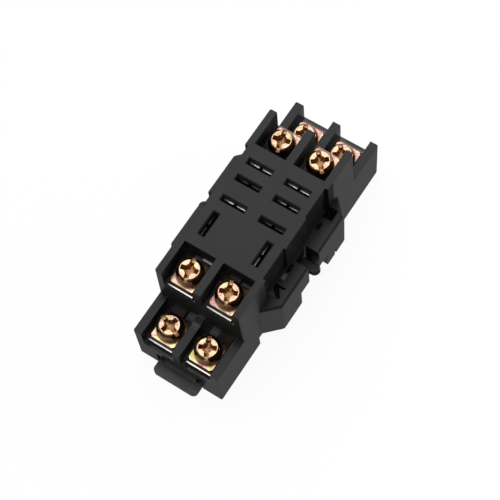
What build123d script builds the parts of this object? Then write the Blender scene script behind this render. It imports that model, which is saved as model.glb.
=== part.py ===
"""Rail socket for a plug-in power relay: a stepped moulding with eight screw terminals.

X runs across the socket, Y along it and Z up. The origin lies on the mounting plane, in the
middle of the channel that takes the rail. The rail latch is at the near end, towards -Y.
All sizes are millimetres.
"""
from build123d import *
import os

os.makedirs("parts", exist_ok=True)

NEAR, FAR = -1, 1
LEFT, RIGHT = -1, 1

# The stepped block
block_length = 68.0
block_width = 22.6
upper_draft_deg = 1.5
block_corner_radius = 0.35
block_height = 26.4
lower_wall_height = 13.2
upper_tier_length = 46.6
upper_corner_radius = 0.4

# The relay seat between the upper terminal pockets
seat_length = 28.0
seat_setback = 1.1
seat_narrow_length = 25.4
pilaster_setback = 0.65
pilaster_length = 8.6

# Terminal pockets
divider_thickness = 2.0
pocket_wall = 2.1
upper_pocket_depth = 6.2
lower_floor_height = 8.6
sill_length = 1.3
sill_drop = 0.8
far_lower_setback = 0.9

# The rail channel and the fixed hook on its far side
rail_width = 35.0
rail_edge_thickness = 1.0
rail_gap = 0.5
channel_depth = 3.8
hook_reach = 1.7
hook_width = 16.0
hook_foot_gap = 0.4

# Side flanges
flange_reach = 3.7
flange_straight_length = 26.1
flange_end_slope = 3.75
flange_height = 16.8
flange_wall = 1.6
flange_skin = 1.8
flange_cavity_end_wall = 1.0
flange_corner_radius = 1.0
flange_edge_radius = 0.8
notch_width = 4.4
notch_corner_radius = 0.6
arch_length = 11.2
arch_height = 9.5
arch_wall = 1.2
flange_slit_width = 0.6
flange_slit_height = 2.5
flange_slit_y = 9.0

# What the relay and its retaining clip plug into
relay_centre_y = 0.7
contact_column_x = 5.0
coil_column_x = 7.0
contact_row_y = {"outer": 8.9, "middle": 4.2, "inner": -1.7, "coil": -8.6}
blade_slot_length = 6.2
blade_slot_width = 1.4
blade_slot_lead = 0.3
seat_roof = 1.5
clip_slot_offset_y = 6.05
clip_slot_length = 4.2
clip_slot_width = 0.9
clip_slot_wall = 0.7
clip_pocket_offset_y = 11.1
clip_pocket_length = 3.0
clip_pocket_width = 2.6
clip_pocket_wall = 0.4

# Folded blade contacts and terminal strips
strip_thickness = 1.0
strip_width = 6.4
strip_front = 4.4
strip_leg_width = 3.4
narrow_leg_width = 2.8
narrow_leg_x = 3.6
coil_leg_x = 6.3
riser_width = 2.0
collar_diameter = 5.0
collar_depth = 1.2
thread_diameter = 3.5
contact_length = 6.0
contact_height = 10.1
contact_leaf_thickness = 0.5
contact_body_gap = 1.4
contact_pinch_gap = 0.3
contact_mouth_gap = 0.5
contact_pinch_drop = 1.8
contact_top_gap = 0.3
finger_slit_width = 0.8
finger_slit_depth = 6.5

# Terminal screws and clamp washers
thread_gap = 0.05
screw_shank_length = 6.0
screw_point_length = 0.8
screw_point_diameter = 2.4
head_diameter = 6.3
head_height = 2.6
head_edge_height = 1.3
head_crown_diameter = 4.6
head_underside_gap = 0.05
driver_slot_width = 1.0
driver_slot_depth = 0.7
cross_span = 4.2
cross_arm_width = 1.2
cross_heart_diameter = 2.5
cross_depth = 1.7
cross_taper_deg = 12
screw_well_gap = 0.3
screw_tip_gap = 0.35
washer_length = 7.4
washer_width = 6.3
washer_thickness = 0.9
washer_corner = 0.5
washer_hole_gap = 0.08
washer_seat_gap = 0.02

# Base plate with its two locating ears
base_thickness = 1.2
base_margin_x = 1.7
base_margin_y = 0.6
base_gap = 0.1
ear_width = 2.7
ear_arm_thickness = 1.2
ear_arm_gap = 0.15
ear_overhang = 1.4
ear_thickness = 1.2
ear_top_height = 12.6
ear_edge = 0.3

# Sliding rail latch and its spring
latch_width = 11.8
latch_key_width = 8.8
latch_thickness = 1.8
latch_gap = 0.2
latch_tab_reach = 3.0
latch_tab_thickness = 1.4
latch_tab_corner = 1.2
latch_window_height = 5.4
latch_window_depth = 1.5
latch_hook_reach = 1.8
latch_lead = 0.9
latch_lug_width = 3.0
latch_lug_thickness = 1.2
latch_lug_height = 3.2
latch_lug_inset = 1.3
spring_diameter = 3.2
spring_wire = 0.5
spring_coils = 6
spring_stop_wall = 3.0
spring_gap = 0.3

# Small clearances, how far a cut runs past the face that it opens, and how near a picked edge lies
leg_gap = 0.1
chamber_gap = 0.2
overshoot = 1.0
near_enough = 0.1

# Sizes that follow from the ones above
half_length = block_length / 2
half_width = block_width / 2
tier_end = upper_tier_length / 2
seat_end = seat_length / 2
flange_half = half_width + flange_reach
seat_half = half_width - seat_setback
pilaster_half = half_width - pilaster_setback
pocket_width = half_width - divider_thickness / 2 - pocket_wall
pocket_x = (divider_thickness + pocket_width) / 2
pocket_inner_x = divider_thickness / 2
pocket_outer_x = pocket_inner_x + pocket_width
channel_half = rail_width / 2 + rail_gap
base_width = block_width - 2 * base_margin_x
base_length = 2 * (channel_half - base_margin_y)
clip_slot_x = seat_half + clip_slot_wall + clip_slot_width / 2
clip_pocket_x = seat_half + clip_pocket_wall + clip_pocket_width / 2
lug_inner_y = -channel_half - latch_lug_inset
lug_outer_y = lug_inner_y - latch_lug_thickness
spring_stop_y = -half_length + spring_stop_wall
upper_floor_height = block_height - upper_pocket_depth
contact_top_height = block_height - seat_roof - contact_top_gap
contact_bottom_height = contact_top_height - contact_height
floor_height = {"upper": upper_floor_height, "lower": lower_floor_height}
screw_y = {"upper": (seat_end + tier_end) / 2, "lower": (tier_end + half_length) / 2}
pocket_start_y = {"upper": seat_end, "lower": tier_end}
pocket_end_y = {"upper": tier_end, "lower": half_length}

# End, column, tier, the contact row that each terminal serves, and the turn of its screw in degrees
terminals = (
    (FAR, LEFT, "lower", "middle", 24),
    (FAR, RIGHT, "lower", "middle", 38),
    (FAR, LEFT, "upper", "outer", 13),
    (FAR, RIGHT, "upper", "outer", 41),
    (NEAR, LEFT, "upper", "inner", 12),
    (NEAR, RIGHT, "upper", "inner", 20),
    (NEAR, LEFT, "lower", "coil", 70),
    (NEAR, RIGHT, "lower", "coil", 25),
)


def span(first, second):
    """Two bounds in rising order."""
    return min(first, second), max(first, second)


def about(centre, width):
    """The bounds of a width that is centred on a value."""
    return centre - width / 2, centre + width / 2


def prism(x_span, y_span, z_span, mode=Mode.ADD):
    """A rectangular prism between two bounds on each axis, in the part being built."""
    with BuildSketch(Plane.XY.offset(z_span[0])) as outline:
        with Locations((sum(x_span) / 2, sum(y_span) / 2)):
            Rectangle(x_span[1] - x_span[0], y_span[1] - y_span[0])
    extrude(outline.sketch, amount=z_span[1] - z_span[0], mode=mode)


def screw_place(end, column, tier):
    """Where a terminal's screw stands in plan; the far lower ones stand a little further in."""
    setback = far_lower_setback if (end, tier) == (FAR, "lower") else 0
    return column * pocket_x, end * (screw_y[tier] - setback)


def contact_place(column, row):
    """Where a contact stands in plan."""
    x = coil_column_x if row == "coil" else contact_column_x
    return column * x, relay_centre_y + contact_row_y[row]


def contact_footprint(column, row, length, depth):
    """X and Y bounds of a rectangle about a contact; the coil's contacts lie along Y."""
    x, y = contact_place(column, row)
    if row == "coil":
        return about(x, depth), about(y, length)
    return about(x, length), about(y, depth)


def leg_x_span(column, tier, row):
    """X bounds of the strip's leg between its plate and its contact."""
    if row == "inner":
        return about(column * narrow_leg_x, narrow_leg_width)
    if row == "coil":
        return about(column * coil_leg_x, strip_leg_width)
    return about(column * pocket_x, strip_leg_width)


def leg_y_span(end, tier, row, column):
    """Y bounds of the strip's leg: from inside its pocket to the middle of a contact leaf or riser."""
    row_y = contact_place(column, row)[1]
    leaf = (contact_body_gap + contact_leaf_thickness) / 2
    reach = row_y + end * leaf if tier == "upper" else row_y - end * strip_thickness / 2
    return span(reach, screw_place(end, column, tier)[1] - end * washer_length / 2)


# The upper tier of the housing, narrower towards its top
with BuildPart() as upper_tier:
    with BuildSketch(Plane.XY.offset(lower_wall_height)):
        Rectangle(block_width, block_length)
    extrude(amount=block_height - lower_wall_height, taper=upper_draft_deg)
    for end in (NEAR, FAR):
        prism(
            about(0, block_width + overshoot),
            span(end * tier_end, end * (half_length + overshoot)),
            (lower_wall_height, block_height + overshoot),
            Mode.SUBTRACT,
        )
    tier_corners = upper_tier.edges().filter_by(
        lambda edge: edge.bounding_box().size.Z > upper_corner_radius
    )
    fillet(tier_corners, upper_corner_radius)

# The moulded housing steps down to the lower terminals at both ends.
with BuildPart() as housing:
    with BuildSketch():
        RectangleRounded(block_width, block_length, block_corner_radius)
    extrude(amount=lower_wall_height)
    add(upper_tier.part)

    # Side flanges with sloped ends
    with BuildSketch(Plane.XY.offset(channel_depth)):
        straight = flange_straight_length / 2
        sloped = straight + flange_end_slope
        with BuildLine():
            Polyline(
                (flange_half, -straight),
                (flange_half, straight),
                (half_width - flange_wall, sloped + flange_wall),
                (flange_wall - half_width, sloped + flange_wall),
                (-flange_half, straight),
                (-flange_half, -straight),
                (flange_wall - half_width, -sloped - flange_wall),
                (half_width - flange_wall, -sloped - flange_wall),
                close=True,
            )
        make_face()
        outer_corners = vertices().filter_by(lambda corner: abs(abs(corner.X) - flange_half) < near_enough)
        fillet(outer_corners, flange_corner_radius)
    extrude(amount=flange_height - channel_depth)
    flange_rims = housing.edges().filter_by(
        lambda edge: abs(edge.center().Z - flange_height) < near_enough
        and abs(edge.center().X) > half_width + near_enough
    )
    fillet(flange_rims, flange_edge_radius)

    # Above the flanges the seat is narrower than the tiers, but for a pilaster in the middle.
    for side in (LEFT, RIGHT):
        for y_from, y_to in (
            (pilaster_length / 2, seat_narrow_length / 2),
            (-seat_narrow_length / 2, -pilaster_length / 2),
        ):
            prism(
                span(side * seat_half, side * (half_width + overshoot)),
                (y_from, y_to),
                (flange_height, block_height + overshoot),
                Mode.SUBTRACT,
            )
        prism(
            span(side * pilaster_half, side * (half_width + overshoot)),
            about(0, pilaster_length + near_enough),
            (flange_height, block_height + overshoot),
            Mode.SUBTRACT,
        )

    # The channel for the rail crosses the underside.
    prism(
        about(0, 2 * flange_half + overshoot),
        about(0, 2 * channel_half),
        (-overshoot, channel_depth),
        Mode.SUBTRACT,
    )
    # The fixed hook grips the far edge of the rail.
    prism(
        about(0, hook_width),
        (channel_half - hook_reach, channel_half + overshoot),
        (hook_foot_gap, channel_depth - rail_edge_thickness - latch_gap),
    )
    hook_tip = housing.edges().filter_by(Axis.X).filter_by(
        lambda edge: abs(edge.center().Y - channel_half + hook_reach) < near_enough
        and edge.center().Z < channel_depth / 2
    )
    chamfer(hook_tip, hook_reach / 2)

    # Terminal pockets, open at the top and at the outer end
    for end in (NEAR, FAR):
        for column in (LEFT, RIGHT):
            pocket_span = span(column * pocket_inner_x, column * pocket_outer_x)
            for tier in ("upper", "lower"):
                prism(
                    pocket_span,
                    span(end * pocket_start_y[tier], end * (pocket_end_y[tier] + overshoot)),
                    (floor_height[tier], block_height + overshoot),
                    Mode.SUBTRACT,
                )
                with BuildSketch(Plane.XY.offset(floor_height[tier])):
                    with Locations(screw_place(end, column, tier)):
                        Circle(collar_diameter / 2 + screw_well_gap)
                well_depth = screw_shank_length - strip_thickness - washer_thickness + screw_tip_gap
                extrude(amount=-well_depth, mode=Mode.SUBTRACT)
            prism(
                pocket_span,
                span(end * (half_length - sill_length), end * (half_length + overshoot)),
                (lower_floor_height - sill_drop, lower_floor_height + overshoot),
                Mode.SUBTRACT,
            )

    # Contact chambers, blade slots and the slits that the strips lie in
    for end, column, tier, row, turn_deg in terminals:
        outer_depth = contact_body_gap + 2 * contact_leaf_thickness
        chamber_x, chamber_y = contact_footprint(
            column, row, contact_length + 2 * chamber_gap, outer_depth + 2 * chamber_gap
        )
        prism(chamber_x, chamber_y, (channel_depth, block_height - seat_roof), Mode.SUBTRACT)
        slot_x, slot_y = contact_footprint(column, row, blade_slot_length, blade_slot_width)
        prism(slot_x, slot_y, (block_height - seat_roof, block_height + overshoot), Mode.SUBTRACT)
        leg_x = leg_x_span(column, tier, row)
        leg_y = leg_y_span(end, tier, row, column)
        prism(
            (leg_x[0] - leg_gap, leg_x[1] + leg_gap),
            (leg_y[0] - leg_gap, leg_y[1] + leg_gap),
            (floor_height[tier], floor_height[tier] + strip_thickness + leg_gap),
            Mode.SUBTRACT,
        )
    slot_rims = housing.edges().filter_by(
        lambda edge: abs(edge.center().Z - block_height) < near_enough
        and abs(edge.center().Y) < seat_end - near_enough
        and abs(edge.center().X) < coil_column_x + blade_slot_width
    )
    chamfer(slot_rims, blade_slot_lead)

    # Each flange is hollow from below and has a notch and an arch in the middle.
    for side in (LEFT, RIGHT):
        inner_face = side * half_width
        notch_start = side * (half_width - ear_arm_gap / 2)
        cavity_end = flange_straight_length / 2 - flange_cavity_end_wall
        with BuildSketch(Plane.XY.offset(channel_depth - overshoot)):
            with Locations(((notch_start + side * (flange_half + overshoot)) / 2, 0)):
                RectangleRounded(
                    flange_half + overshoot - abs(notch_start), notch_width, notch_corner_radius
                )
        extrude(amount=flange_height + overshoot, mode=Mode.SUBTRACT)
        prism(
            span(inner_face, side * (flange_half + overshoot)),
            about(0, arch_length),
            (channel_depth - overshoot, arch_height),
            Mode.SUBTRACT,
        )
        for end in (NEAR, FAR):
            prism(
                span(inner_face, side * (flange_half - flange_wall)),
                span(end * (notch_width / 2 + arch_wall), end * cavity_end),
                (channel_depth - overshoot, flange_height - flange_skin),
                Mode.SUBTRACT,
            )
            clip_y = relay_centre_y + end * clip_slot_offset_y
            prism(
                about(side * clip_slot_x, clip_slot_width),
                about(clip_y, clip_slot_length),
                (channel_depth + flange_skin, flange_height + overshoot),
                Mode.SUBTRACT,
            )
            clip_pocket_y = relay_centre_y + end * clip_pocket_offset_y
            prism(
                about(side * clip_pocket_x, clip_pocket_width),
                about(clip_pocket_y, clip_pocket_length),
                (channel_depth + flange_skin, flange_height + overshoot),
                Mode.SUBTRACT,
            )
        prism(
            span(inner_face, side * (flange_half + overshoot)),
            about(flange_slit_y, flange_slit_width),
            (channel_depth - overshoot, channel_depth + flange_slit_height),
            Mode.SUBTRACT,
        )

    # The underside is recessed for the base plate and its two arms.
    prism(
        about(0, base_width + 2 * base_gap),
        about(0, base_length + 2 * base_gap),
        (channel_depth - overshoot, channel_depth + base_thickness),
        Mode.SUBTRACT,
    )
    prism(
        about(0, block_width + overshoot),
        about(0, notch_width),
        (channel_depth - overshoot, channel_depth + base_thickness + base_gap),
        Mode.SUBTRACT,
    )

    # The near foot holds the latch in a stepped groove, with the spring in a channel above it.
    latch_low = channel_depth - latch_gap - latch_thickness
    groove_y = (-half_length - overshoot, -channel_half + overshoot)
    prism(
        about(0, latch_width + 2 * latch_gap),
        groove_y,
        (latch_low - latch_gap, channel_depth),
        Mode.SUBTRACT,
    )
    prism(
        about(0, latch_key_width + 2 * latch_gap),
        groove_y,
        (-overshoot, channel_depth),
        Mode.SUBTRACT,
    )
    prism(
        about(0, latch_width + 2 * latch_gap),
        (-half_length - overshoot, -half_length + latch_window_depth),
        (-overshoot, latch_window_height),
        Mode.SUBTRACT,
    )
    prism(
        about(0, spring_diameter + 2 * spring_gap),
        (spring_stop_y, -channel_half + overshoot),
        (channel_depth - latch_gap, channel_depth + latch_lug_height + spring_gap),
        Mode.SUBTRACT,
    )
housing.part.label = "housing"
export_step(housing.part, "parts/housing.step")


# The plate that closes the contact chambers from below
with BuildPart() as base_plate:
    prism(
        about(0, base_width),
        about(0, base_length),
        (channel_depth, channel_depth + base_thickness),
    )
    arm_inner = half_width + ear_arm_gap
    for side in (LEFT, RIGHT):
        prism(
            span(side * base_width / 2, side * (arm_inner + ear_arm_thickness)),
            about(0, ear_width),
            (channel_depth, channel_depth + base_thickness),
        )
        prism(
            span(side * arm_inner, side * (arm_inner + ear_arm_thickness)),
            about(0, ear_width),
            (channel_depth, ear_top_height),
        )
        ear_centre = flange_half + ear_overhang - ear_width / 2
        with BuildSketch(Plane.XY.offset(ear_top_height)):
            with Locations((side * ear_centre, 0)):
                Circle(ear_width / 2)
            with Locations((side * (arm_inner + ear_centre) / 2, 0)):
                Rectangle(ear_centre - arm_inner, ear_width)
        extrude(amount=-ear_thickness)
    ear_rims = base_plate.edges().filter_by(GeomType.CIRCLE)
    chamfer(ear_rims, ear_edge)
base_plate.part.label = "base_plate"
export_step(base_plate.part, "parts/base_plate.step")


# The latch slides out along -Y to free the rail.
with BuildPart() as rail_latch:
    latch_low = channel_depth - latch_gap - latch_thickness
    latch_high = channel_depth - latch_gap
    latch_inner_y = -channel_half + latch_hook_reach
    latch_outer_y = -half_length - latch_tab_reach
    rail_side_top = channel_depth - rail_edge_thickness - latch_gap
    window_y = -half_length + latch_window_depth
    prism(
        about(0, latch_width),
        (window_y, -channel_half - latch_gap),
        (latch_low, latch_high - latch_gap),
    )
    prism(
        about(0, latch_key_width),
        (-half_length, latch_inner_y),
        (latch_gap, rail_side_top),
    )
    prism(
        about(0, latch_width),
        (latch_outer_y, window_y - latch_gap),
        (latch_gap, latch_gap + latch_tab_thickness),
    )
    tab_corners = rail_latch.edges().filter_by(Axis.Z).filter_by(
        lambda edge: abs(edge.center().Y - latch_outer_y) < near_enough
    )
    fillet(tab_corners, latch_tab_corner)
    hook_edge = rail_latch.edges().filter_by(Axis.X).filter_by(
        lambda edge: abs(edge.center().Y - latch_inner_y) < near_enough and edge.center().Z < latch_low
    )
    chamfer(hook_edge, latch_lead)
    prism(
        about(0, latch_lug_width),
        (lug_outer_y, lug_inner_y),
        (latch_low, channel_depth + latch_lug_height),
    )
rail_latch.part.label = "rail_latch"
export_step(rail_latch.part, "parts/rail_latch.step")


# The coil spring pushes the latch towards the rail.
with BuildPart() as latch_spring:
    spring_z = channel_depth + spring_gap + spring_diameter / 2
    free_start = spring_stop_y + spring_wire / 2
    free_end = lug_outer_y - spring_wire / 2
    coil_radius = (spring_diameter - spring_wire) / 2
    with BuildLine() as coil:
        Helix(
            (free_end - free_start) / spring_coils,
            free_end - free_start,
            coil_radius,
            center=(0, free_start, spring_z),
            direction=(0, 1, 0),
        )
    with BuildSketch(Plane(coil.line @ 0, z_dir=coil.line % 0)):
        RegularPolygon(spring_wire / 2, 6)
    sweep(path=coil.line, is_frenet=True)
latch_spring.part.label = "latch_spring"
export_step(latch_spring.part, "parts/latch_spring.step")


def make_terminal(number, end, column, tier, row):
    """A stamped strip: tapped plate, leg and folded contact for one blade."""
    floor = floor_height[tier]
    x_plate, y_screw = screw_place(end, column, tier)
    contact_x, contact_y = contact_place(column, row)
    leaf = contact_leaf_thickness
    outer = (contact_body_gap + leaf) / 2
    pinch = (contact_pinch_gap + leaf) / 2
    mouth = (contact_mouth_gap + leaf) / 2
    height = contact_top_height - contact_bottom_height
    with BuildPart() as terminal:
        # The plate lies on the pocket floor and carries the tapped collar.
        prism(
            about(x_plate, strip_width),
            span(y_screw - end * washer_length / 2, y_screw + end * strip_front),
            (floor, floor + strip_thickness),
        )
        with BuildSketch(Plane.XY.offset(floor - collar_depth)):
            with Locations((x_plate, y_screw)):
                Circle(collar_diameter / 2)
        extrude(amount=collar_depth)
        prism(
            leg_x_span(column, tier, row),
            leg_y_span(end, tier, row, column),
            (floor, floor + strip_thickness),
        )
        if tier == "lower":
            riser = riser_width if row == "coil" else strip_leg_width
            prism(
                about(contact_x, riser),
                about(contact_y, strip_thickness),
                (floor, contact_bottom_height + leaf),
            )
        # The folded contact grips the blade between two leaves.
        if row == "coil":
            fold = Plane((contact_x, contact_y, contact_bottom_height), x_dir=(1, 0, 0), z_dir=(0, -1, 0))
        else:
            fold = Plane((contact_x, contact_y, contact_bottom_height), x_dir=(0, 1, 0), z_dir=(1, 0, 0))
        with BuildSketch(fold):
            with BuildLine():
                half_leaf = Polyline(
                    (0, leaf / 2),
                    (outer, leaf / 2),
                    (outer, floor_height["upper"] + strip_thickness - contact_bottom_height),
                    (pinch, height - contact_pinch_drop),
                    (mouth, height),
                )
                mirror(half_leaf, about=Plane.YZ)
                offset(amount=leaf / 2, kind=Kind.INTERSECTION)
            make_face()
        extrude(amount=contact_length / 2, both=True)
        slit_x, slit_y = contact_footprint(column, row, finger_slit_width, 2 * outer + 2 * leaf)
        prism(
            slit_x,
            slit_y,
            (contact_top_height - finger_slit_depth, contact_top_height + overshoot),
            Mode.SUBTRACT,
        )
        with BuildSketch(Plane.XY.offset(floor + strip_thickness)):
            with Locations((x_plate, y_screw)):
                Circle(thread_diameter / 2)
        extrude(amount=-strip_thickness - collar_depth, mode=Mode.SUBTRACT)
    terminal.part.label = f"terminal_{number}"
    return terminal.part


def make_washer(number, end, column, tier):
    """A square clamp washer that presses the wire on its strip."""
    bottom = floor_height[tier] + strip_thickness + washer_seat_gap
    hole = thread_diameter / 2 - thread_gap + washer_hole_gap
    with BuildPart() as washer:
        with BuildSketch(Plane.XY.offset(bottom)):
            with Locations(screw_place(end, column, tier)):
                Rectangle(washer_width, washer_length)
                chamfer(vertices(), washer_corner)
                Circle(hole, mode=Mode.SUBTRACT)
        extrude(amount=washer_thickness)
    washer.part.label = f"clamp_washer_{number}"
    return washer.part


def make_screw(number, end, column, tier, turn_deg):
    """A pan-head screw whose head takes a cross or a flat driver."""
    underside = (
        floor_height[tier] + strip_thickness + washer_seat_gap + washer_thickness + head_underside_gap
    )
    place = screw_place(end, column, tier)
    shank = thread_diameter / 2 - thread_gap
    head = head_diameter / 2
    with BuildPart() as screw:
        with BuildSketch(Plane((*place, underside), x_dir=(1, 0, 0), z_dir=(0, -1, 0))):
            with BuildLine():
                rim = Polyline(
                    (0, head_height),
                    (0, -screw_shank_length),
                    (screw_point_diameter / 2, -screw_shank_length),
                    (shank, screw_point_length - screw_shank_length),
                    (shank, 0),
                    (head, 0),
                    (head, head_edge_height),
                )
                crown = (head_crown_diameter / 2, head_height)
                TangentArc(rim @ 1, crown, tangent=(0, 1))
                Line(crown, rim @ 0)
            make_face()
        revolve(axis=Axis((*place, 0), (0, 0, 1)))
        crown_plane = Plane.XY.offset(underside + head_height)
        with BuildSketch(crown_plane):
            with Locations(Location(place, turn_deg)):
                Rectangle(driver_slot_width, head_diameter + overshoot)
        extrude(amount=-driver_slot_depth, mode=Mode.SUBTRACT)
        with BuildSketch(crown_plane) as cross:
            with Locations(Location(place, turn_deg)):
                Rectangle(cross_arm_width, cross_span)
                Rectangle(cross_span, cross_arm_width)
                Circle(cross_heart_diameter / 2)
        extrude(cross.sketch, amount=-cross_depth, taper=cross_taper_deg, mode=Mode.SUBTRACT)
    screw.part.label = f"terminal_screw_{number}"
    return screw.part


for number, (end, column, tier, row, turn_deg) in enumerate(terminals, start=1):
    for piece in (
        make_terminal(number, end, column, tier, row),
        make_washer(number, end, column, tier),
        make_screw(number, end, column, tier, turn_deg),
    ):
        export_step(piece, f"parts/{piece.label}.step")
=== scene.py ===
# %% [markdown]
# # A relay socket, dressed for its portrait
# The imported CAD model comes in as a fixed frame: a black stepped moulding, eight plated brass
# strips, eight clamp washers, eight screws, a base plate, a rail latch and its spring. Nearly all
# of it keeps its CAD shape and gets a finish. The spring is drawn anew, and it rides on the body
# that holds it.

# %% Load the frame
import math
import bpy
from mathutils import Matrix, Vector


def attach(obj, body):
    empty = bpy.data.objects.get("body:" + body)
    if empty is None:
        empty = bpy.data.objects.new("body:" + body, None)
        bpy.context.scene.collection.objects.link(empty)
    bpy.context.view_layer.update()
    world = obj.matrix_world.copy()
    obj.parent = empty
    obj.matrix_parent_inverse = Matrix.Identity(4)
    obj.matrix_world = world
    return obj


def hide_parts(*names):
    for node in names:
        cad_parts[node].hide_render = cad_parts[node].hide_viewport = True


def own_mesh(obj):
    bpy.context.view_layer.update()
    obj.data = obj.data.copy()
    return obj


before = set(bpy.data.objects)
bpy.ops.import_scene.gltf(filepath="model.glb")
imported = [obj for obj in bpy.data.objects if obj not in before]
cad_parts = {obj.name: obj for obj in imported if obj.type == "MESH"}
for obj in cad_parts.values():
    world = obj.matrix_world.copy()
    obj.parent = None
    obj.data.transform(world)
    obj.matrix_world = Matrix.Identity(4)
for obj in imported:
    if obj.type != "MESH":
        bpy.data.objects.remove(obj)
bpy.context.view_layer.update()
MM = 0.001

# %% [markdown]
# ## The camera
# The photograph looks down on the socket from its near right. The direction, roll, distance and
# lens below come from fitting a pinhole camera to about thirty corners of the object. A tracking
# constraint could aim the camera, but it leaves the roll open. Blender cameras look along their
# own -Z, so the three axes of the view are put straight in a matrix instead.

# %% Camera
VIEW_AZIMUTH = math.radians(40.723)
VIEW_ELEVATION = math.radians(65.849)
VIEW_ROLL = math.radians(-8.431)
VIEW_TARGET = Vector((0.521, -4.255, 14.0)) * MM
VIEW_DISTANCE = 335.2 * MM
LENS_MM, SENSOR_MM = 106.62, 36.0
NEAR_CLIP = 10 * MM

back = Vector((
    math.sin(VIEW_AZIMUTH) * math.cos(VIEW_ELEVATION),
    -math.cos(VIEW_AZIMUTH) * math.cos(VIEW_ELEVATION),
    math.sin(VIEW_ELEVATION),
))
level_right = Vector((math.cos(VIEW_AZIMUTH), math.sin(VIEW_AZIMUTH), 0.0))
level_up = back.cross(level_right)
right = math.cos(VIEW_ROLL) * level_right + math.sin(VIEW_ROLL) * level_up
up = math.cos(VIEW_ROLL) * level_up - math.sin(VIEW_ROLL) * level_right

camera_data = bpy.data.cameras.new("portrait_lens")
camera_data.lens = LENS_MM
camera_data.sensor_width = SENSOR_MM
camera_data.clip_start = NEAR_CLIP
camera = bpy.data.objects.new("portrait_camera", camera_data)
bpy.context.scene.collection.objects.link(camera)
turn = Matrix((right, up, back)).transposed().to_4x4()
camera.matrix_world = Matrix.Translation(VIEW_TARGET + back * VIEW_DISTANCE) @ turn
bpy.context.scene.camera = camera
bpy.context.scene.view_settings.view_transform = "Standard"
print("camera at", [round(v / MM) for v in camera.matrix_world.translation], "mm")

# %% [markdown]
# ## Three helpers for every material
# Colours are written as sRGB hex, as a colour picker shows them, and turned to the linear values
# that shaders expect. One function adds a node, sets what it is given and makes its links, and
# fills the stops of a colour ramp. The third starts an empty material. A node's sockets go by
# name or number: a Mix node of colours takes its factor at 0 and its colours at 6 and 7, and
# gives the mixed colour at output 2.

# %% Colour and node helpers
def hex_linear(code):
    """An sRGB hex colour as linear red, green, blue and alpha."""
    channels = [int(code[i:i + 2], 16) / 255 for i in (1, 3, 5)]
    linear = [c / 12.92 if c <= 0.04045 else ((c + 0.055) / 1.055) ** 2.4 for c in channels]
    return (*linear, 1.0)


def add_node(tree, kind, inputs=None, stops=(), **settings):
    """Adds a node; an input given as a socket is linked, and any other is set."""
    node = tree.nodes.new(kind)
    for key, value in settings.items():
        setattr(node, key, value)
    for key, value in (inputs or {}).items():
        if isinstance(value, bpy.types.NodeSocket):
            tree.links.new(value, node.inputs[key])
        else:
            node.inputs[key].default_value = value
    if stops:
        band = node.color_ramp
        while len(band.elements) < len(stops):
            band.elements.new(0.5)
        for element, (position, code) in zip(band.elements, stops):
            element.position = position
            element.color = hex_linear(code)
    return node


def new_material(name):
    """An empty material with its output node, as (material, tree, output)."""
    material = bpy.data.materials.new(name)
    material.use_nodes = True
    material.node_tree.nodes.clear()
    output = add_node(material.node_tree, "ShaderNodeOutputMaterial")
    return material, material.node_tree, output


# %% [markdown]
# ## Moulded plastic: which wall is which
# The housing is black glass-filled polyamide, injection moulded. Its outer faces copy a
# spark-eroded tool and have a fine grain. The cores that form the screw pockets are polished for
# release. The two long sides of the relay seat are painted darker, as painted shade. Each kind of
# wall could get a material slot, face by face, but masks that find the walls by their place need no
# list of faces. The pockets lie past both ends of the seat and between the side walls. The shaded
# sides stand upright above the flanges, and a face is upright where its normal climbs by under a half.

# %% Places on the moulding
SEAT_MIDDLE_Y = 0.7 * MM
SEAT_HALF_LENGTH = 14.1 * MM
POCKET_REACH_X = 9.5 * MM
FLANGE_TOP_Z = 17 * MM
UPRIGHT = 0.5


def moulding_places(tree, where):
    """Masks of the moulding: past the seat, between the side walls, and its sides in painted shade."""
    axes = add_node(tree, "ShaderNodeSeparateXYZ", {"Vector": where}).outputs
    from_seat = add_node(
        tree, "ShaderNodeMath", {0: axes["Y"], 1: SEAT_MIDDLE_Y}, operation="SUBTRACT"
    ).outputs[0]
    beyond = {}
    for name, run, limit, test in (
        ("past_seat", from_seat, SEAT_HALF_LENGTH, "GREATER_THAN"),
        ("inside", axes["X"], POCKET_REACH_X, "LESS_THAN"),
    ):
        size = add_node(tree, "ShaderNodeMath", {0: run}, operation="ABSOLUTE").outputs[0]
        beyond[name] = add_node(
            tree, "ShaderNodeMath", {0: size, 1: limit}, operation=test
        ).outputs[0]
    normal = add_node(tree, "ShaderNodeNewGeometry").outputs["Normal"]
    face_up = add_node(tree, "ShaderNodeSeparateXYZ", {"Vector": normal}).outputs["Z"]
    # The upright sides of the seat found here get painted shade.
    seat_side_shade = add_node(
        tree, "ShaderNodeMath", {0: face_up, 1: UPRIGHT}, operation="LESS_THAN"
    ).outputs[0]
    conditions = [add_node(
        tree, "ShaderNodeMath", {0: axes["Z"], 1: FLANGE_TOP_Z}, operation="GREATER_THAN"
    ).outputs[0]]
    for mask in beyond.values():
        conditions.append(add_node(
            tree, "ShaderNodeMath", {0: 1.0, 1: mask}, operation="SUBTRACT"
        ).outputs[0])
    for condition in conditions:
        seat_side_shade = add_node(
            tree, "ShaderNodeMath", {0: seat_side_shade, 1: condition}, operation="MULTIPLY"
        ).outputs[0]
    return beyond["past_seat"], beyond["inside"], seat_side_shade
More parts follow.
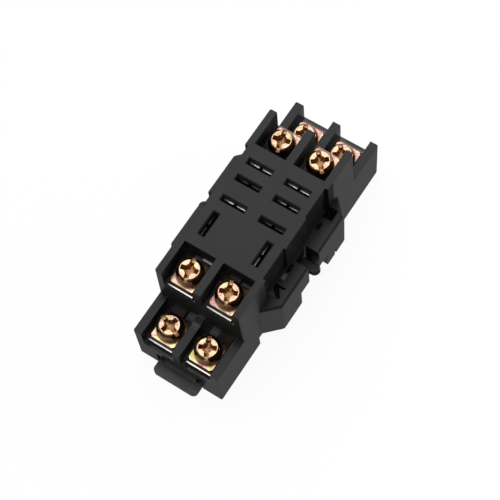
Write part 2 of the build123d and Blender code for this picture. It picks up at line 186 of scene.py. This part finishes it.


# %% [markdown]
# ## Moulded plastic: its tone
# The black is not quite even: the melt left clouds of about 7 mm where it flowed. Soft light
# hardly reaches the corners, which the ambient occlusion node measures, and they are painted
# darker than the paths of light alone make them, as painted shade. Deep in the blade slots the
# walls are painted a lighter grey, as painted light that they catch, and the sides of the seat are
# painted a deeper black, as painted shade. A painted image could hold all this, but noise and
# ambient occlusion follow the shape by themselves.

# %% Tone of the moulding
FLOW_CLOUD = 7 * MM
CORNER_TONES = [(0.4, "#C4C4C4"), (0.9, "#FFFFFF")]
# Deep in the blade slots the walls get a lighter grey, which is painted light.
SLOT_LIGHT_STARTS, SLOT_LIGHT_FULL = 0.32, 0.08
SLOT_PAINTED_LIGHT = "#6C6C6A"
# The deeper black of the seat's sides is painted shade.
SEAT_SIDE_SHADE_BLACK = "#212221"


def moulding_tone(tree, where, body, light, open_sky, inside, seat_side_shade):
    """The colour of the plastic: clouds, painted shade in corners and on the seat's sides, painted light
    in the slots.
    """
    flow = add_node(
        tree, "ShaderNodeTexNoise", {"Vector": where, "Scale": 1 / FLOW_CLOUD, "Detail": 3.0}
    ).outputs["Fac"]
    clouds = add_node(
        tree, "ShaderNodeValToRGB", {"Fac": flow}, [(0.35, body), (0.7, light)]
    ).outputs["Color"]
    corners = add_node(tree, "ShaderNodeValToRGB", {"Fac": open_sky}, CORNER_TONES).outputs["Color"]
    tone = add_node(
        tree, "ShaderNodeMix", {6: clouds, 7: corners, 0: 1.0}, data_type="RGBA", blend_type="MULTIPLY"
    ).outputs[2]
    # Painted light: the deepest parts of the slots are mixed towards a lighter grey.
    deep = add_node(
        tree, "ShaderNodeMapRange", {"Value": open_sky, "From Min": SLOT_LIGHT_STARTS, "From Max": SLOT_LIGHT_FULL}
    ).outputs["Result"]
    slot_light_share = add_node(tree, "ShaderNodeMath", {0: deep, 1: inside}, operation="MULTIPLY").outputs[0]
    for share, film in ((slot_light_share, SLOT_PAINTED_LIGHT), (seat_side_shade, SEAT_SIDE_SHADE_BLACK)):
        tone = add_node(
            tree, "ShaderNodeMix", {0: share, 6: tone, 7: hex_linear(film)}, data_type="RGBA"
        ).outputs[2]
    return tone


# %% [markdown]
# ## Moulded plastic: its grain
# The real grain is about 0.1 mm and breaks up every reflection, so the faces look evenly dark
# grey, and only a glancing view of a wall picks up a veil of light from the white card. The grain
# is too fine for this picture and is drawn at 0.3 mm or more. One Principled shader could do all
# this, but its gloss grows by a law of its own and is too strong on these walls. So a dull shader
# gets a weak glossy veil that grows as the view gets flatter. Most of the veil is taken off the
# sides of the seat, so that their painted shade stays dark.

# %% Grained skin
GRAIN_DEPTH = 0.02 * MM
GRAIN_STRENGTH = 0.25
VEIL_ROUGHNESS = 0.28
VEIL_ACROSS, VEIL_ALONG = 0.012, 0.085
# The seat's sides keep less of the veil, so their painted shade stays dark.
VEIL_LEFT_IN_SEAT_SHADE = 0.3


def grained_skin(tree, where, tone, soft_edge, seat_side_shade, grain_mm):
    """A dull shader with a veil of gloss that grows towards a glancing view."""
    grain = add_node(
        tree, "ShaderNodeTexNoise", {"Vector": where, "Scale": 1 / (grain_mm * MM), "Detail": 2.0}
    ).outputs["Fac"]
    relief = add_node(tree, "ShaderNodeBump", {
        "Height": grain, "Strength": GRAIN_STRENGTH, "Distance": GRAIN_DEPTH, "Normal": soft_edge,
    }).outputs["Normal"]
    dull = add_node(tree, "ShaderNodeBsdfDiffuse", {"Color": tone, "Normal": relief})
    gloss = add_node(
        tree, "ShaderNodeBsdfAnisotropic", {"Roughness": VEIL_ROUGHNESS, "Normal": relief}
    )
    glance = add_node(tree, "ShaderNodeLayerWeight", {"Blend": 0.5}).outputs["Facing"]
    veil = add_node(
        tree, "ShaderNodeMapRange", {"Value": glance, "To Min": VEIL_ACROSS, "To Max": VEIL_ALONG}
    ).outputs["Result"]
    # The veil is cut on the seat's sides, keeping their painted shade dark.
    kept = add_node(
        tree, "ShaderNodeMapRange", {"Value": seat_side_shade, "To Min": 1.0, "To Max": VEIL_LEFT_IN_SEAT_SHADE}
    ).outputs["Result"]
    veil = add_node(tree, "ShaderNodeMath", {0: veil, 1: kept}, operation="MULTIPLY").outputs[0]
    return add_node(
        tree, "ShaderNodeMixShader", {0: veil, 1: dull.outputs[0], 2: gloss.outputs[0]}
    ).outputs[0]


# %% [markdown]
# ## Moulded plastic: the whole material
# The grained skin gives way to polished walls in the screw pockets. There the plastic is shut in
# on most sides, and it mirrors the metal a little. Polyamide has an IOR of about 1.53, and 1.6
# gives these walls the shine that they have in the photograph. Every edge is rounded by 0.15 mm in
# the tool. A bevel node does that in the shading, where real fillets would add many faces. The
# latch is moulded from a paler batch, and the base plate from a slightly darker one.

# %% Black polyamide
SHUT_IN_WITHIN = 6 * MM
EDGE_ROUNDING = 0.15 * MM
POLISH_STARTS, POLISH_FULL = 0.84, 0.5
POLISHED_ROUGHNESS, POLISHED_IOR = 0.09, 1.6


def moulded_polyamide(name, body, light, core, grain_mm):
    """Black moulded polyamide: grained outside, polished in the screw pockets."""
    material, tree, output = new_material(name)
    where = add_node(tree, "ShaderNodeTexCoord").outputs["Object"]
    open_sky = add_node(
        tree, "ShaderNodeAmbientOcclusion", {"Distance": SHUT_IN_WITHIN}, only_local=True
    ).outputs["AO"]
    past_seat, inside, seat_side_shade = moulding_places(tree, where)
    tone = moulding_tone(tree, where, body, light, open_sky, inside, seat_side_shade)
    soft_edge = add_node(
        tree, "ShaderNodeBevel", {"Radius": EDGE_ROUNDING}, samples=4
    ).outputs["Normal"]
    grained = grained_skin(tree, where, tone, soft_edge, seat_side_shade, grain_mm)
    polished = add_node(tree, "ShaderNodeBsdfPrincipled", {
        "Base Color": hex_linear(core), "Roughness": POLISHED_ROUGHNESS, "IOR": POLISHED_IOR,
        "Normal": soft_edge,
    }).outputs["BSDF"]
    in_pocket = add_node(
        tree, "ShaderNodeMapRange",
        {"Value": open_sky, "From Min": POLISH_STARTS, "From Max": POLISH_FULL},
    ).outputs["Result"]
    for mask in (past_seat, inside):
        in_pocket = add_node(
            tree, "ShaderNodeMath", {0: in_pocket, 1: mask}, operation="MULTIPLY"
        ).outputs[0]
    skin = add_node(tree, "ShaderNodeMixShader", {0: in_pocket, 1: grained, 2: polished})
    tree.links.new(skin.outputs[0], output.inputs["Surface"])
    return material


housing_black = moulded_polyamide("black_polyamide_housing", "#282A29", "#2D2F2E", "#323332", 0.35)
base_black = moulded_polyamide("black_polyamide_base", "#242625", "#292B2A", "#1E1F1E", 0.3)
latch_black = moulded_polyamide("black_polyamide_latch", "#4C4E4D", "#515352", "#2C2D2C", 0.3)
print("three batches of black polyamide")

# %% [markdown]
# ## Yellow passivated zinc
# The screws and clamp washers are steel, zinc plated and then dipped in a yellow passivation.
# The film is far thinner than a hair and shows cream, rose and green tints that wander over each
# piece. They could be worked out from the thickness of the film, but noise through a ramp of five
# tints is easier to match to the object. The zinc has a fine ripple of 0.45 mm. Where the bath
# was trapped, in the driver recess and at the foot of a head, it dried brown and dull, and the
# ambient occlusion node finds those hollows. The same brown is also painted shade at the foot of
# each head and on the washer around it. Both finishes share one function, and each piece hands it
# a painted shade of its own.

# %% Passivation film
RIPPLE = 0.45 * MM
RIPPLE_DEPTH = 0.05 * MM
RIPPLE_STRENGTH = 0.35
# The brown in the hollows is dried bath and also painted shade at the foot of each head.
BATH_BROWN_AND_SHADE = [(0.35, "#6A4424"), (0.6, "#B98350")]
HOLLOW, OPEN = 0.55, 0.92


def passivated(tree, where, tints, patch_mm, roughness, shade, hollow_mm):
    """A passivation film, tinted and bright, that turns brown and dull in the hollows: dried bath and
    painted shade.
    """
    wander = add_node(tree, "ShaderNodeTexNoise", {
        "Vector": where, "Scale": 1 / (patch_mm * MM), "Detail": 2.0, "Distortion": 0.9,
    }).outputs["Fac"]
    fine = add_node(
        tree, "ShaderNodeTexNoise", {"Vector": where, "Scale": 1 / RIPPLE, "Detail": 2.0}
    ).outputs["Fac"]
    waves = add_node(tree, "ShaderNodeBump", {
        "Height": fine, "Strength": RIPPLE_STRENGTH, "Distance": RIPPLE_DEPTH,
    }).outputs["Normal"]
    films = []
    for pattern, stops, metallic, gloss in (
        (fine, BATH_BROWN_AND_SHADE, 0.6, 0.4), (wander, tints, 1.0, roughness),
    ):
        colour = add_node(tree, "ShaderNodeValToRGB", {"Fac": pattern}, stops).outputs["Color"]
        shaded = add_node(
            tree, "ShaderNodeMix", {6: colour, 7: shade, 0: 1.0}, data_type="RGBA", blend_type="MULTIPLY"
        ).outputs[2]
        films.append(add_node(tree, "ShaderNodeBsdfPrincipled", {
            "Base Color": shaded, "Metallic": metallic, "Roughness": gloss, "Normal": waves,
        }).outputs["BSDF"])
    # The hollows that ambient occlusion finds take the brown, as dried bath and as painted shade.
    open_sky = add_node(
        tree, "ShaderNodeAmbientOcclusion", {"Distance": hollow_mm * MM}
    ).outputs["AO"]
    clean_and_lit = add_node(
        tree, "ShaderNodeMapRange", {"Value": open_sky, "From Min": HOLLOW, "From Max": OPEN}
    ).outputs["Result"]
    return add_node(tree, "ShaderNodeMixShader", {0: clean_and_lit, 1: films[0], 2: films[1]}).outputs[0]


# %% [markdown]
# The rim of a screw head is painted darker than its crown, as painted shade where the head turns
# down to the washer. It could be told by its height, but the crown curves down to it without a
# step. Each screw stands upright, so the distance from its axis is the flat distance from the
# middle of its own box, where that box is 1 across.

# %% Screw finish
SCREW_TINTS = [
    (0.32, "#A99A62"), (0.42, "#DCC596"), (0.5, "#E0B4A2"), (0.57, "#AD7C76"), (0.66, "#DCD2A0"),
]
# The darker rim of a screw head is painted shade.
RIM_PAINTED_SHADE = [(0.35, "#FFFFFF"), (0.41, "#A08E80"), (0.5, "#6E5C50")]

screw_zinc, tree, output = new_material("yellow_passivated_zinc_screw")
places = add_node(tree, "ShaderNodeTexCoord").outputs
from_axis = add_node(
    tree, "ShaderNodeVectorMath", {0: places["Generated"], 1: (0.5, 0.5, 0.0)}, operation="SUBTRACT"
).outputs[0]
flat = add_node(
    tree, "ShaderNodeVectorMath", {0: from_axis, 1: (1.0, 1.0, 0.0)}, operation="MULTIPLY"
).outputs[0]
radius = add_node(tree, "ShaderNodeVectorMath", {0: flat}, operation="LENGTH").outputs["Value"]
# Painted shade: the rim is darkened by its distance from the axis.
rim_painted_shade = add_node(tree, "ShaderNodeValToRGB", {"Fac": radius}, RIM_PAINTED_SHADE).outputs["Color"]
film = passivated(
    tree, places["Object"], SCREW_TINTS, patch_mm=1.1, roughness=0.18, shade=rim_painted_shade, hollow_mm=2.0
)
tree.links.new(film, output.inputs["Surface"])

# %% [markdown]
# A washer's rear, towards the relay seat, lies in the shade of its screw and is nearly black
# brown. The paths of light leave it too bright, so a tint by place deepens it. How far a point is
# from the middle of the socket, as a share of 35 mm, tells the rear of an upper washer (0.49 and
# less) and of a lower one (0.65 to 0.76) from their fronts.

# %% Washer finish
REACH = 35 * MM
WASHER_TINTS = [
    (0.34, "#B0AB70"), (0.42, "#DECB9C"), (0.49, "#DBAEA2"), (0.57, "#B07C84"), (0.66, "#D9CF9E"),
]
REAR_BROWN = "#3A322C"

washer_zinc, tree, output = new_material("yellow_passivated_zinc_washer")
where = add_node(tree, "ShaderNodeTexCoord").outputs["Object"]
along = add_node(tree, "ShaderNodeSeparateXYZ", {"Vector": where}).outputs["Y"]
from_middle = add_node(tree, "ShaderNodeMath", {0: along}, operation="ABSOLUTE").outputs[0]
share = add_node(
    tree, "ShaderNodeMath", {0: from_middle, 1: REACH}, operation="DIVIDE"
).outputs[0]
rear = add_node(tree, "ShaderNodeValToRGB", {"Fac": share}, [
    (0.49, REAR_BROWN), (0.54, "#FFFFFF"), (0.63, "#FFFFFF"),
    (0.65, REAR_BROWN), (0.76, REAR_BROWN), (0.81, "#FFFFFF"),
]).outputs["Color"]
film = passivated(
    tree, where, WASHER_TINTS, patch_mm=3.0, roughness=0.2, shade=rear, hollow_mm=0.8
)
tree.links.new(film, output.inputs["Surface"])
print("two yellow zinc finishes")

# %% [markdown]
# ## Plated strips: the crown of a spring finger
# The strips are stamped brass under a tin plate. Each ends in a pair of spring fingers, 3 mm
# apart, that grip a blade of the relay. A finger is rolled to a slight crown across its width, so
# only part of it mirrors the light. The crown could be modelled, but it is thinner than a pixel
# here. A leaned normal stands for it: it swings from one side to the other, and starts again with
# each finger.

# %% Crowned fingers
FINGER_PITCH = 3.0 * MM
FINGERS_END = 14.0 * MM
CROWN_LEAN = {"X": (-0.75, 0.4), "Y": (-0.35, 0.8)}


def crowned_normal(tree, axes, face, from_middle, across, middle):
    """The normal of a strip, leaned across its two fingers and left alone elsewhere."""
    side = add_node(
        tree, "ShaderNodeMath", {0: axes[across], 1: middle}, operation="SUBTRACT"
    ).outputs[0]
    turns = add_node(
        tree, "ShaderNodeMath", {0: side, 1: FINGER_PITCH}, operation="DIVIDE"
    ).outputs[0]
    phase = add_node(tree, "ShaderNodeMath", {0: turns}, operation="FRACT").outputs[0]
    start, end = CROWN_LEAN[across]
    slope = add_node(
        tree, "ShaderNodeMapRange", {"Value": phase, "To Min": start, "To Max": end}
    ).outputs["Result"]
    on_finger = add_node(
        tree, "ShaderNodeMath", {0: from_middle, 1: FINGERS_END}, operation="LESS_THAN"
    ).outputs[0]
    tilt = add_node(
        tree, "ShaderNodeMath", {0: slope, 1: on_finger}, operation="MULTIPLY"
    ).outputs[0]
    push = add_node(tree, "ShaderNodeCombineXYZ", {across: tilt}).outputs[0]
    leaned = add_node(tree, "ShaderNodeVectorMath", {0: face, 1: push}, operation="ADD").outputs[0]
    return add_node(tree, "ShaderNodeVectorMath", {0: leaned}, operation="NORMALIZE").outputs[0]


# %% [markdown]
# ## Plated strips: bright tin and painted shade
# The plate is bright at the fingers, which the blades wipe, and at the last 0.2 mm before the
# front edge, which the wires wipe. Between them each strip is painted dark, as painted shade. The
# sheared end faces are left dull by the plating bath, and their normals tell them from the flat
# tops. The worn places could be painted by hand. One function that takes their places and tones
# is shorter, as the eight strips differ in little else.

# %% Tin plate
WIPED_EDGE = 0.22 * MM
FINGER_FADE, EDGE_FADE = 0.01, 0.002
PLATE_ROUGHNESS = 0.32
# The last two tones on the next line are fingers painted half and fully dark, as painted dark
# reflections.
BRIGHT_TIN, TIN_HALF_REFLECTION, TIN_DARK_REFLECTION = "#F2F0EA", "#A8A59C", "#4A4844"
# The first of these two tones is painted shade on the middle of each strip.
TIN_IN_PAINTED_SHADE, ROSY_TIN_IN_SHADE = "#2A2622", "#8A6A5E"
END_FACE_SHADES = [(0.3, "#4A443C"), (0.7, "#FFFFFF")]


def tin_plate(name, across, middle, front, edge_tone, finger_tone, metallic):
    """Tin plate on one strip: fingers and front edge have their own tones, the rest is painted shade."""
    material, tree, output = new_material(name)
    where = add_node(tree, "ShaderNodeTexCoord").outputs["Object"]
    axes = add_node(tree, "ShaderNodeSeparateXYZ", {"Vector": where}).outputs
    from_middle = add_node(tree, "ShaderNodeMath", {0: axes["Y"]}, operation="ABSOLUTE").outputs[0]
    share = add_node(
        tree, "ShaderNodeMath", {0: from_middle, 1: REACH}, operation="DIVIDE"
    ).outputs[0]
    fingers = FINGERS_END / REACH
    edge = (front - WIPED_EDGE) / REACH
    # Between the fingers and the front edge the strip is painted dark, as painted shade.
    tone = add_node(tree, "ShaderNodeValToRGB", {"Fac": share}, [
        (fingers, finger_tone), (fingers + FINGER_FADE, TIN_IN_PAINTED_SHADE),
        (edge - EDGE_FADE, TIN_IN_PAINTED_SHADE), (edge, edge_tone),
    ]).outputs["Color"]
    face = add_node(tree, "ShaderNodeNewGeometry").outputs["Normal"]
    upward = add_node(tree, "ShaderNodeSeparateXYZ", {"Vector": face}).outputs["Z"]
    ends = add_node(tree, "ShaderNodeValToRGB", {"Fac": upward}, END_FACE_SHADES).outputs["Color"]
    tone = add_node(
        tree, "ShaderNodeMix", {6: tone, 7: ends, 0: 1.0}, data_type="RGBA", blend_type="MULTIPLY"
    ).outputs[2]
    shader = add_node(tree, "ShaderNodeBsdfPrincipled", {
        "Base Color": tone, "Metallic": metallic, "Roughness": PLATE_ROUGHNESS,
        "Normal": crowned_normal(tree, axes, face, from_middle, across, middle),
    })
    tree.links.new(shader.outputs["BSDF"], output.inputs["Surface"])
    return material


# %% [markdown]
# The strips differ in their painted light and shade. The four far ones have a rosy front edge,
# darkened as painted shade. Two have fingers painted half dark and three have fingers painted dark,
# as painted dark reflections of the slot walls. Six slots lie across the socket, and the two of the
# relay's coil lie along it. The table gives the way across the fingers, their middle and the front
# edge in mm, the tones of edge and fingers, and how metallic the plate is.

# %% The eight strips
# In this table the rosy front edges are painted shade, and the darker finger tones painted dark
# reflections.
STRIP_TABLE = [
    ("X", -5.0, 32.15, ROSY_TIN_IN_SHADE, TIN_DARK_REFLECTION, 0.4),
    ("X", 5.0, 32.15, ROSY_TIN_IN_SHADE, TIN_HALF_REFLECTION, 0.8),
    ("X", -5.0, 23.05, ROSY_TIN_IN_SHADE, BRIGHT_TIN, 0.7),
    ("X", 5.0, 23.05, ROSY_TIN_IN_SHADE, BRIGHT_TIN, 0.7),
    ("X", -5.0, 23.05, BRIGHT_TIN, BRIGHT_TIN, 0.7),
    ("X", 5.0, 23.05, BRIGHT_TIN, TIN_DARK_REFLECTION, 0.4),
    ("Y", -7.9, 33.05, BRIGHT_TIN, TIN_DARK_REFLECTION, 0.4),
    ("Y", -7.9, 33.05, BRIGHT_TIN, TIN_HALF_REFLECTION, 0.8),
]
strips = {}
for number, row in enumerate(STRIP_TABLE, start=1):
    across, middle_mm, front_mm, edge_tone, finger_tone, metallic = row
    strips[f"terminal_{number}"] = tin_plate(
        f"tin_plate_{number}", across, middle_mm * MM, front_mm * MM, edge_tone, finger_tone, metallic
    )
print(len(strips), "strips plated")

# %% [markdown]
# ## The latch spring
# A coil spring lies in a chamber under the near end and pushes the latch towards the rail. Its
# wire is bare drawn steel. Scratches along the wire could be drawn, but they are too fine to
# show, so noise only makes its gloss a little cloudy, in patches of 1.5 mm.

# %% Spring steel
GLOSS_CLOUD = 1.5 * MM
DRAWN_STEEL = "#9A9B9C"
SMOOTHEST, ROUGHEST = 0.22, 0.4

spring_wire, tree, output = new_material("drawn_spring_steel")
where = add_node(tree, "ShaderNodeTexCoord").outputs["Object"]
cloud = add_node(
    tree, "ShaderNodeTexNoise", {"Vector": where, "Scale": 1 / GLOSS_CLOUD, "Detail": 3.0}
).outputs["Fac"]
gloss = add_node(
    tree, "ShaderNodeMapRange", {"Value": cloud, "To Min": SMOOTHEST, "To Max": ROUGHEST}
).outputs["Result"]
steel = add_node(tree, "ShaderNodeBsdfPrincipled", {
    "Base Color": hex_linear(DRAWN_STEEL), "Metallic": 1.0, "Roughness": gloss,
})
tree.links.new(steel.outputs["BSDF"], output.inputs["Surface"])

# %% [markdown]
# The wire is 0.5 mm thick. It has six flats in the CAD model and is round here. A curve with a
# round bevel could draw it, but rings of points, placed along the coil and square to the wire,
# give its cut ends and its length exactly.

# %% Points of the coil
SPRING_WALL_Y = -31.0 * MM
SPRING_LENGTH = 10.5 * MM
SPRING_AXIS_Z = 5.7 * MM
SPRING_END_PLAY = 0.03 * MM
COIL_RADIUS = 1.35 * MM
WIRE_RADIUS = 0.25 * MM
COILS, RINGS_A_COIL, SIDES = 6, 24, 12

steps = COILS * RINGS_A_COIL
centre_run = SPRING_LENGTH - 2 * WIRE_RADIUS - 2 * SPRING_END_PLAY
rise = centre_run / (2 * math.pi * COILS)
spring_points = []
for ring in range(steps + 1):
    turn_angle = 2 * math.pi * ring / RINGS_A_COIL
    outward = Vector((math.cos(turn_angle), 0.0, math.sin(turn_angle)))
    along = Vector((-math.sin(turn_angle) * COIL_RADIUS, rise, math.cos(turn_angle) * COIL_RADIUS))
    side = along.normalized().cross(outward)
    from_wall = WIRE_RADIUS + SPRING_END_PLAY + centre_run * ring / steps
    centre = outward * COIL_RADIUS + Vector((0.0, SPRING_WALL_Y + from_wall, SPRING_AXIS_Z))
    for corner in range(SIDES):
        angle = 2 * math.pi * corner / SIDES
        spring_points.append(
            centre + WIRE_RADIUS * (math.cos(angle) * outward + math.sin(angle) * side)
        )
print(len(spring_points), "points on", COILS, "coils")

# %% [markdown]
# Neighbouring rings are joined by four-sided faces, which are shaded smooth, and a flat face
# closes each cut end. When the latch is pulled out by 3 mm, its lug squeezes the spring against
# the near wall. One shape could not fit both lengths, and the coil is drawn at one length only.

spring_faces = []
for ring in range(steps):
    for corner in range(SIDES):
        here, beside = ring * SIDES + corner, ring * SIDES + (corner + 1) % SIDES
        spring_faces.append((here, beside, beside + SIDES, here + SIDES))
spring_faces.append(tuple(range(SIDES))[::-1])
spring_faces.append(tuple(range(steps * SIDES, (steps + 1) * SIDES)))
spring_mesh = bpy.data.meshes.new("latch_spring_coil")
spring_mesh.from_pydata([tuple(point) for point in spring_points], [], spring_faces)
spring_mesh.materials.append(spring_wire)
spring_mesh.validate()
for face in spring_mesh.polygons:
    face.use_smooth = len(face.vertices) == 4
spring = bpy.data.objects.new("latch_spring_coil", spring_mesh)
bpy.context.scene.collection.objects.link(spring)
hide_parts("latch_spring")
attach(spring, "socket")
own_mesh(spring)
print("spring of", len(spring_faces), "faces")

# %% [markdown]
# ## Dressing the CAD nodes
# The nodes already have the right shape and need no new mesh, so each one only swaps its
# material. The start of a node's name says which finish it takes. Smooth shading makes the round
# faces look round.

# %% Assign the materials
finishes = {
    "housing": housing_black,
    "base_plate": base_black,
    "rail_latch": latch_black,
    "latch_spring": spring_wire,
    "terminal_screw": screw_zinc,
    "clamp_washer": washer_zinc,
    **strips,
}
for node_name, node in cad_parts.items():
    kind = next(key for key in finishes if node_name.startswith(key))
    for place in range(len(node.material_slots)):
        node.material_slots[place].material = finishes[kind]
    node.data.shade_smooth()
print(len(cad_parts), "nodes dressed")

# %% [markdown]
# ## The floor
# The socket lies on plain white card. A shadow catcher could keep only the shadow, but then the
# metal would have no card to mirror. So the card is a real face. It shows white to the camera and
# to glossy faces, and keeps a share of its own shading, so the shadow stays under the object.

# %% White card
CARD_REACH = 3.0
CARD_PAPER = "#B8B8B8"
CARD_GLOW = 1.13
CARD_GLOW_SHARE = 0.82

card_corners = [
    (x * CARD_REACH, y * CARD_REACH, 0) for x, y in ((-1, -1), (1, -1), (1, 1), (-1, 1))
]
floor_mesh = bpy.data.meshes.new("white_card")
floor_mesh.from_pydata(card_corners, [], [(0, 1, 2, 3)])
floor = bpy.data.objects.new("white_card", floor_mesh)
bpy.context.scene.collection.objects.link(floor)

card, tree, output = new_material("white_card_paper")
paper = add_node(tree, "ShaderNodeBsdfDiffuse", {"Color": hex_linear(CARD_PAPER)})
shine = add_node(tree, "ShaderNodeEmission", {"Color": (1, 1, 1, 1), "Strength": CARD_GLOW})
seen = add_node(tree, "ShaderNodeLightPath").outputs
direct = seen["Is Camera Ray"]
for ray in ("Is Glossy Ray", "Is Transmission Ray"):
    direct = add_node(
        tree, "ShaderNodeMath", {0: direct, 1: seen[ray]}, operation="MAXIMUM"
    ).outputs[0]
share = add_node(
    tree, "ShaderNodeMath", {0: direct, 1: CARD_GLOW_SHARE}, operation="MULTIPLY"
).outputs[0]
blend = add_node(
    tree, "ShaderNodeMixShader", {0: share, 1: paper.outputs[0], 2: shine.outputs[0]}
)
tree.links.new(blend.outputs[0], output.inputs["Surface"])
floor_mesh.materials.append(card)
print("white card,", 2 * CARD_REACH, "m wide")

# %% [markdown]
# ## The light
# The light is a sky of soft boxes: a large one overhead and a little to the far left, which leaves
# the right side of the relay seat in shade, a low one behind the far end, and weaker ones on the
# left and in front. Their strengths come from comparing the tones of about thirty faces of the
# black moulding with those in the photograph. Area lamps could do it too, but bright patches of
# the sky are far away and light every part alike. A box fades out from its middle to its rim.

# %% Sky of soft boxes
BOX_RIM, BOX_MIDDLE = 0.72, 0.96
SOFT_BOXES = [(155, 74, 1.9), (270, 45, 0.35), (110, 14, 1.8), (180, 14, 0.8)]

world = bpy.data.worlds.new("soft_boxes")
world.use_nodes = True
bpy.context.scene.world = world
sky = world.node_tree
sky.nodes.clear()
sky_output = add_node(sky, "ShaderNodeOutputWorld")
sky_place = add_node(sky, "ShaderNodeTexCoord").outputs["Generated"]
glow = 0.0
for azimuth_deg, elevation_deg, strength in SOFT_BOXES:
    azimuth, elevation = math.radians(azimuth_deg), math.radians(elevation_deg)
    middle = Vector((
        math.cos(azimuth) * math.cos(elevation),
        math.sin(azimuth) * math.cos(elevation),
        math.sin(elevation),
    ))
    nearness = add_node(
        sky, "ShaderNodeVectorMath", {0: sky_place, 1: middle}, operation="DOT_PRODUCT"
    ).outputs["Value"]
    box = add_node(sky, "ShaderNodeMapRange", {
        "Value": nearness, "From Min": BOX_RIM, "From Max": BOX_MIDDLE, "To Max": strength,
    }).outputs["Result"]
    glow = add_node(sky, "ShaderNodeMath", {0: glow, 1: box}, operation="ADD").outputs[0]
sky_light = add_node(sky, "ShaderNodeBackground", {"Color": (1, 1, 1, 1), "Strength": glow})
sky.links.new(sky_light.outputs[0], sky_output.inputs["Surface"])
print(len(SOFT_BOXES), "soft boxes")

# %% [markdown]
# The far right sides are the lightest faces of the moulding in the photograph, and those at the
# near end are darker. A patch of the sky can't give that fall, but a small area lamp that stands
# close to the far end can.

# %% Side panel
PANEL_SIZE = 80 * MM
PANEL_WATTS = 0.14
PANEL_PLACE = Vector((120, 150, 50)) * MM
PANEL_AIM = Vector((11, 26, 12)) * MM

panel_data = bpy.data.lights.new("side_panel", "AREA")
panel_data.shape = "SQUARE"
panel_data.size = PANEL_SIZE
panel_data.energy = PANEL_WATTS
panel = bpy.data.objects.new("side_panel", panel_data)
bpy.context.scene.collection.objects.link(panel)
panel.location = PANEL_PLACE
panel.rotation_euler = (PANEL_AIM - PANEL_PLACE).to_track_quat("-Z", "Y").to_euler()
print("side panel of", round(PANEL_SIZE / MM), "mm")
